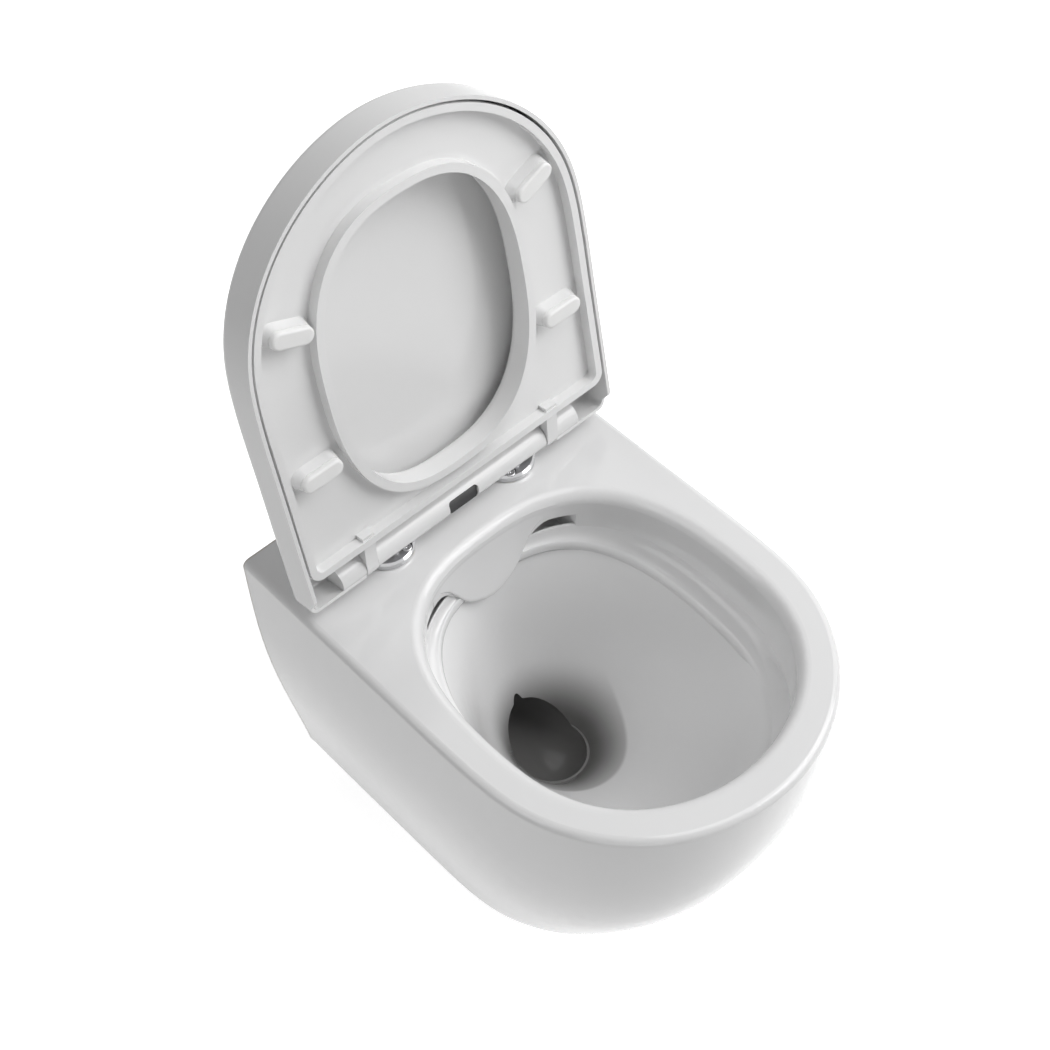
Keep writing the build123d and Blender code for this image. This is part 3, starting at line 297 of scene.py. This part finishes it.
def glazed_ceramic():
    """White vitreous china: a glassy glaze with a faint flow, bare and rough on the wall face, with
    painted shade darkening the passage below the bowl.
    """
    material, g = new_finish("white_glaze")
    place = g.place()
    wandering = g.noise(place, size=14 * MM, detail=2)
    wall_edge = g.part(place, "Y") + wandering * BARE_WANDER
    bare = wall_edge.ramp(BARE_START_Y, BARE_END_Y)
    cloud = g.noise(place, size=90 * MM, detail=2)
    grain = g.noise(place, size=0.8 * MM, detail=2)
    glaze_colour = g.tint(GLAZE_COLOUR, cloud.between(low=0.985, high=1.0))
    bisque_colour = g.tint(BISQUE_COLOUR, grain.between(low=0.86, high=1.0))
    # Painted shade: the glaze turns dark deep in the passage below the bowl
    glaze_colour = g.mix(trapway_shade_share(g, place), glaze_colour, TRAPWAY_SHADE_COLOUR)
    peel = g.noise(place, size=9 * MM, detail=2, roughness=0.4)
    flow = g.noise(place, size=45 * MM, detail=1)
    relief = g.bump(flow, GLAZE_FLOW_DEPTH, g.bump(peel, GLAZE_PEEL_DEPTH))
    relief = g.bump(grain * bare, BISQUE_DEPTH, relief)
    sheen = g.noise(place, size=60 * MM, detail=3).between(low=0.07, high=0.12)
    close_finish(
        g,
        Base_Color=g.mix(bare, glaze_colour, bisque_colour),
        Roughness=sheen * (1 - bare) + bare * BISQUE_ROUGHNESS,
        IOR=1.52,
        Normal=relief,
    )
    return material


def moulded_white(name, shade, smoothest, roughest):
    """White moulded thermoset: hard and even, with a trace of flow in its gloss."""
    material, g = new_finish(name)
    place = g.place()
    cloud = g.noise(place, size=60 * MM, detail=2)
    peel = g.noise(place, size=5 * MM, detail=3, roughness=0.45)
    smears = g.noise(place, size=30 * MM, detail=4, roughness=0.6)
    close_finish(
        g,
        Base_Color=g.tint((shade, shade, shade), cloud.between(low=0.985, high=1.0)),
        Roughness=smears.between(smoothest, roughest),
        IOR=1.5,
        Normal=g.bump(peel, depth=0.006 * MM),
    )
    return material


def soft_pad():
    """Satin white elastomer, slightly see-through at its edges."""
    material, g = new_finish("soft_white_pad")
    place = g.place()
    mottle = g.noise(place, size=4 * MM, detail=3)
    fine = g.noise(place, size=0.5 * MM, detail=2)
    close_finish(
        g,
        Base_Color=g.tint((0.87, 0.87, 0.865), mottle.between(low=0.97, high=1.0)),
        Roughness=fine.between(low=0.38, high=0.5),
        Normal=g.bump(fine, depth=0.004 * MM),
        IOR=1.42,
        Subsurface_Weight=0.25,
        Subsurface_Radius=(1.0, 1.0, 1.0),
        Subsurface_Scale=4 * MM,
    )
    return material


def plain_moulding(name, colour, smoothest, roughest):
    """Unpolished moulding with fine spark texture."""
    material, g = new_finish(name)
    place = g.place()
    spark = g.noise(place, size=0.35 * MM, detail=3)
    mottle = g.noise(place, size=7 * MM, detail=3)
    close_finish(
        g,
        Base_Color=g.tint(colour, mottle.between(low=0.9, high=1.0)),
        Roughness=spark.between(smoothest, roughest),
        Normal=g.bump(spark, depth=0.02 * MM),
        IOR=1.49,
    )
    return material


def bright_metal(name, colour, smoothest, roughest):
    """Machined metal with a fine grain and faint stains."""
    material, g = new_finish(name)
    place = g.place()
    grain = g.noise(place, size=0.25 * MM, detail=2)
    stain = g.noise(place, size=5 * MM, detail=3)
    close_finish(
        g,
        Base_Color=g.tint(colour, stain.between(low=0.9, high=1.0)),
        Roughness=grain.between(smoothest, roughest),
        Metallic=1.0,
        Normal=g.bump(grain, depth=0.004 * MM),
    )
    return material


def disc_chrome():
    """Chrome plate: a satin top face inside a polished bevel and rim, the top's colour darkened as
    painted shade.
    """
    material, g = new_finish("disc_chrome")
    up = g.part(g.add("ShaderNodeTexCoord", output="Normal"), "Z")
    top = up.ramp(CHROME_TOP_START, CHROME_TOP_END)
    fine = g.noise(g.place(), size=0.3 * MM, detail=2)
    satin = fine.between(low=0.26, high=0.36)
    close_finish(
        g,
        # Painted shade: the satin top takes a darker colour than the polished rim
        Base_Color=g.mix(top, CHROME_RIM_COLOUR, CHROME_TOP_SHADED_COLOUR),
        Roughness=top * satin + (1 - top) * CHROME_RIM_ROUGHNESS,
        Metallic=1.0,
        Normal=g.bump(fine * top, depth=0.004 * MM),
    )
    return material


def paint(material, *names):
    """Gives a finish to CAD nodes."""
    for name in names:
        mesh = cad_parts[name].data
        mesh.materials.clear()
        mesh.materials.append(material)


def paint_nodes(glaze):
    """Gives every CAD node its finish."""
    paint(glaze, "ceramic_pan")
    paint(moulded_white("seat_white", shade=0.82, smoothest=0.14, roughest=0.2), "seat_ring")
    paint(moulded_white("cover_white", shade=0.81, smoothest=0.12, roughest=0.18), "cover")
    paint(moulded_white("bar_white", shade=0.84, smoothest=0.16, roughest=0.24), "hinge_bar")
    paint(soft_pad(), "seat_bumpers", "cover_buffers")
    paint(disc_chrome(), "hinge_disc_left", "hinge_disc_right")
    paint(
        bright_metal("bright_steel", (0.72, 0.72, 0.73), smoothest=0.14, roughest=0.28),
        "seat_fixing_screws",
        "hinge_post_left",
        "hinge_post_right",
        "latch_left",
        "latch_right",
        "seat_damper_spindle",
        "cover_damper_spindle",
    )
    paint(
        bright_metal("spring_wire", (0.5, 0.5, 0.5), smoothest=0.2, roughest=0.35),
        "button_springs",
    )
    paint(bright_metal("nut_brass", (0.72, 0.55, 0.27), smoothest=0.2, roughest=0.4), "bush_nuts")
    paint(
        plain_moulding("button_grey", (0.055, 0.055, 0.057), smoothest=0.25, roughest=0.4),
        "release_button",
    )
    paint(
        plain_moulding("damper_grey", (0.3, 0.3, 0.31), smoothest=0.4, roughest=0.6),
        "seat_damper",
        "cover_damper",
    )
    paint(
        plain_moulding("nylon", (0.78, 0.77, 0.74), smoothest=0.45, roughest=0.6),
        "wall_fixing_sleeves",
        "expansion_bushes",
    )
    paint(
        plain_moulding("gasket_rubber", (0.6, 0.6, 0.6), smoothest=0.6, roughest=0.75),
        "disc_gaskets",
    )


def add_to_scene(name, data):
    piece = bpy.data.objects.new(name, data)
    bpy.context.scene.collection.objects.link(piece)
    return piece


def glazed_skin(name, sections, cyclic, glaze):
    """A smooth closed piece of the pan, through loops of points that follow each other."""
    count = len(sections[0])
    total = len(sections)
    faces = []
    for section in range(total if cyclic else total - 1):
        here = section * count
        after = (section + 1) % total * count
        for place in range(count):
            beside = (place + 1) % count
            faces.append((here + place, here + beside, after + beside, after + place))
    if not cyclic:
        faces.append(tuple(range(count)))
        faces.append(tuple(range((total - 1) * count, total * count)))
    mesh = bpy.data.meshes.new(name)
    mesh.from_pydata([point for section in sections for point in section], [], faces)
    shape = bmesh.new()
    shape.from_mesh(mesh)
    bmesh.ops.recalc_face_normals(shape, faces=shape.faces)
    shape.to_mesh(mesh)
    shape.free()
    mesh.polygons.foreach_set("use_smooth", [True] * len(mesh.polygons))
    mesh.materials.append(glaze)
    piece = add_to_scene(name, mesh)
    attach(piece, "pan")


def smooth_share(value, start, end):
    """0 up to start, 1 from end on, smooth between them."""
    share = min(1.0, max(0.0, (value - start) / (end - start)))
    return share * share * (3 - 2 * share)


def lobe_drop(x):
    """How far below the deck the deflector's lower edge is, this far out from the middle."""
    out = abs(x) / MM
    for (low, drop_low), (high, drop_high) in zip(LOBE_EDGE, LOBE_EDGE[1:]):
        if out <= high:
            return (drop_low + (drop_high - drop_low) * (out - low) / (high - low)) * MM
    return LOBE_EDGE[-1][1] * MM


def lobe_column(x):
    """Points down the lobe's face, round its lip and up its back, this far out from the middle."""
    share = (1 - (abs(x) / OPENING_HALF_WIDTH) ** OPENING_BACK_POWER) ** (1 / OPENING_BACK_POWER)
    wall_y = OPENING_WIDEST_Y + OPENING_BACK_REACH * share
    stands_out = 1 - smooth_share(abs(x), LOBE_MERGE_START, LOBE_HALF_WIDTH)
    top_z = DECK_Z - LOBE_TOP_DROP
    foot_z = DECK_Z - lobe_drop(x)
    lip_z = foot_z + LOBE_LIP_RADIUS

    def face_y(z):
        lean = (LOBE_TOP_SHIFT - (top_z - z) * LOBE_LEAN) * stands_out
        return wall_y + lean + LOBE_MERGE_DEPTH * (1 - stands_out)

    column = []
    for row in range(LOBE_ROWS + 1):
        z = top_z + (lip_z - top_z) * row / LOBE_ROWS
        column.append((x, face_y(z), z))
    lip_y = face_y(lip_z)
    for degrees in LOBE_LIP_ANGLES:
        angle = math.radians(degrees)
        back = LOBE_LIP_RADIUS * (1 - math.cos(angle))
        up = LOBE_LIP_RADIUS * (1 - math.sin(angle))
        column.append((x, lip_y + back, foot_z + up))
    column.append((x, lip_y + LOBE_THICKNESS, foot_z))
    column.append((x, wall_y + LOBE_THICKNESS, top_z))
    return column


def deflector_lobe(glaze):
    """The lobe that leans out over the bowl from the back of the opening, with a rounded lip."""
    steps = range(-LOBE_COLUMNS, LOBE_COLUMNS + 1)
    columns = [lobe_column(LOBE_HALF_WIDTH * step / LOBE_COLUMNS) for step in steps]
    glazed_skin("deflector_lobe", columns, False, glaze)


def part_way(start, end, share):
    return start + (end - start) * share


def channel_point(turn, share, rise):
    """A point of the flush channel, at a turn round the opening."""
    across, along = math.cos(turn), math.sin(turn)
    if along < 0:
        powers = (OPENING_FRONT_ACROSS, OPENING_FRONT_ALONG)
        reach = -(OPENING_FRONT_REACH - share * CHANNEL_FRONT_WIDTH)
    else:
        powers = (OPENING_BACK_POWER, OPENING_BACK_POWER)
        reach = OPENING_BACK_REACH - share * CHANNEL_BACK_WIDTH
    half_width = OPENING_HALF_WIDTH - share * CHANNEL_WIDTH
    x = math.copysign(half_width * abs(across) ** (2 / powers[0]), across)
    y = OPENING_WIDEST_Y + reach * abs(along) ** (2 / powers[1])
    back_y = OPENING_WIDEST_Y + OPENING_BACK_REACH
    forward = (back_y - y) / (OPENING_BACK_REACH + OPENING_FRONT_REACH)
    outer_z = part_way(CHANNEL_OUTER_BACK_Z, CHANNEL_OUTER_FRONT_Z, forward)
    inner_z = part_way(CHANNEL_INNER_BACK_Z, CHANNEL_INNER_FRONT_Z, forward)
    fade = smooth_share(y, CHANNEL_FADE_END_Y, CHANNEL_FADE_START_Y)
    height = rise * MM * fade if rise > 0 else rise * MM
    sunk = CHANNEL_SUNK * (1 - fade)
    return (x, y, part_way(outer_z, inner_z, share) + height - sunk)


def flush_channel(glaze):
    """The channel that guides the flush along the wall, crisp inside and fading out in front."""
    sections = []
    for step in range(CHANNEL_STEPS):
        turn = 2 * math.pi * (step + 0.5) / CHANNEL_STEPS
        sections.append([channel_point(turn, share, rise) for share, rise in CHANNEL_SECTION])
    glazed_skin("flush_channel", sections, True, glaze)


def seen_directly(g):
    """1 for rays from the camera, a mirror or glass, which see the white studio."""
    kinds = ("Camera", "Glossy", "Transmission")
    camera_ray, glossy_ray, glass_ray = (
        g.add("ShaderNodeLightPath", output=f"Is {kind} Ray") for kind in kinds
    )
    return camera_ray.larger(glossy_ray).larger(glass_ray)


def floor():
    """Pale floor that stays white to the eye and keeps the pan's shadow."""
    mesh = bpy.data.meshes.new("studio_floor")
    sides = [(-1, -1), (1, -1), (1, 1), (-1, 1)]
    corners = [(x * FLOOR_HALF, y * FLOOR_HALF, FLOOR_Z) for x, y in sides]
    mesh.from_pydata(corners, [], [(0, 1, 2, 3)])
    piece = add_to_scene("studio_floor", mesh)
    material, g = new_finish("floor_white")
    close_finish(
        g,
        Base_Color=(FLOOR_COLOUR, FLOOR_COLOUR, FLOOR_COLOUR, 1),
        Roughness=1.0,
        Specular_IOR_Level=0.0,
        Emission_Color=g.grey(seen_directly(g)),
        Emission_Strength=FLOOR_TOP_UP,
    )
    mesh.materials.append(material)


def room():
    """White room to the eye and in reflections, with a softer fill on surfaces."""
    world = bpy.data.worlds.new("white_room")
    bpy.context.scene.world = world
    world.use_nodes = True
    g = Graph(world.node_tree)
    level = seen_directly(g).between(ROOM_FILL, 1.0)
    sockets = {"Color": (1, 1, 1, 1), "Strength": level}
    background = g.add("ShaderNodeBackground", sockets=sockets)
    g.add("ShaderNodeOutputWorld", sockets={"Surface": background})


def outward(azimuth, elevation):
    """Direction from the object to a lamp or camera at that azimuth and elevation."""
    a, e = math.radians(azimuth), math.radians(elevation)
    return Vector((math.sin(a) * math.cos(e), -math.cos(a) * math.cos(e), math.sin(e)))


def softboxes():
    """Soft lamps round the object, all turned towards its middle."""
    centre = (cad_low + cad_high) / 2
    for name, azimuth, elevation, distance, width, height, watts in SOFTBOXES:
        lamp = bpy.data.lights.new(name, "AREA")
        lamp.shape = "RECTANGLE"
        lamp.size = width
        lamp.size_y = height
        lamp.energy = watts
        piece = add_to_scene(name, lamp)
        away = outward(azimuth, elevation)
        piece.location = centre + away * distance
        piece.rotation_euler = away.to_track_quat("Z", "Y").to_euler()


def camera():
    """Camera at the photograph's angle, with its own roll and shift."""
    lens = bpy.data.cameras.new("camera")
    lens.lens = CAMERA_LENS
    lens.sensor_width = CAMERA_SENSOR
    lens.shift_x, lens.shift_y = CAMERA_SHIFT
    piece = add_to_scene("camera", lens)
    back = outward(CAMERA_AZIMUTH, CAMERA_ELEVATION)
    right = Vector((0, 0, 1)).cross(back).normalized()
    up = back.cross(right)
    roll = math.radians(CAMERA_ROLL)
    turned_right = right * math.cos(roll) + up * math.sin(roll)
    turned_up = up * math.cos(roll) - right * math.sin(roll)
    matrix = Matrix((turned_right, turned_up, back)).transposed().to_4x4()
    matrix.translation = CAMERA_PLACE
    piece.matrix_world = matrix
    bpy.context.scene.camera = piece


bpy.context.scene.view_settings.view_transform = "Standard"
white_glaze = glazed_ceramic()
paint_nodes(white_glaze)
deflector_lobe(white_glaze)
flush_channel(white_glaze)
floor()
room()
softboxes()
camera()
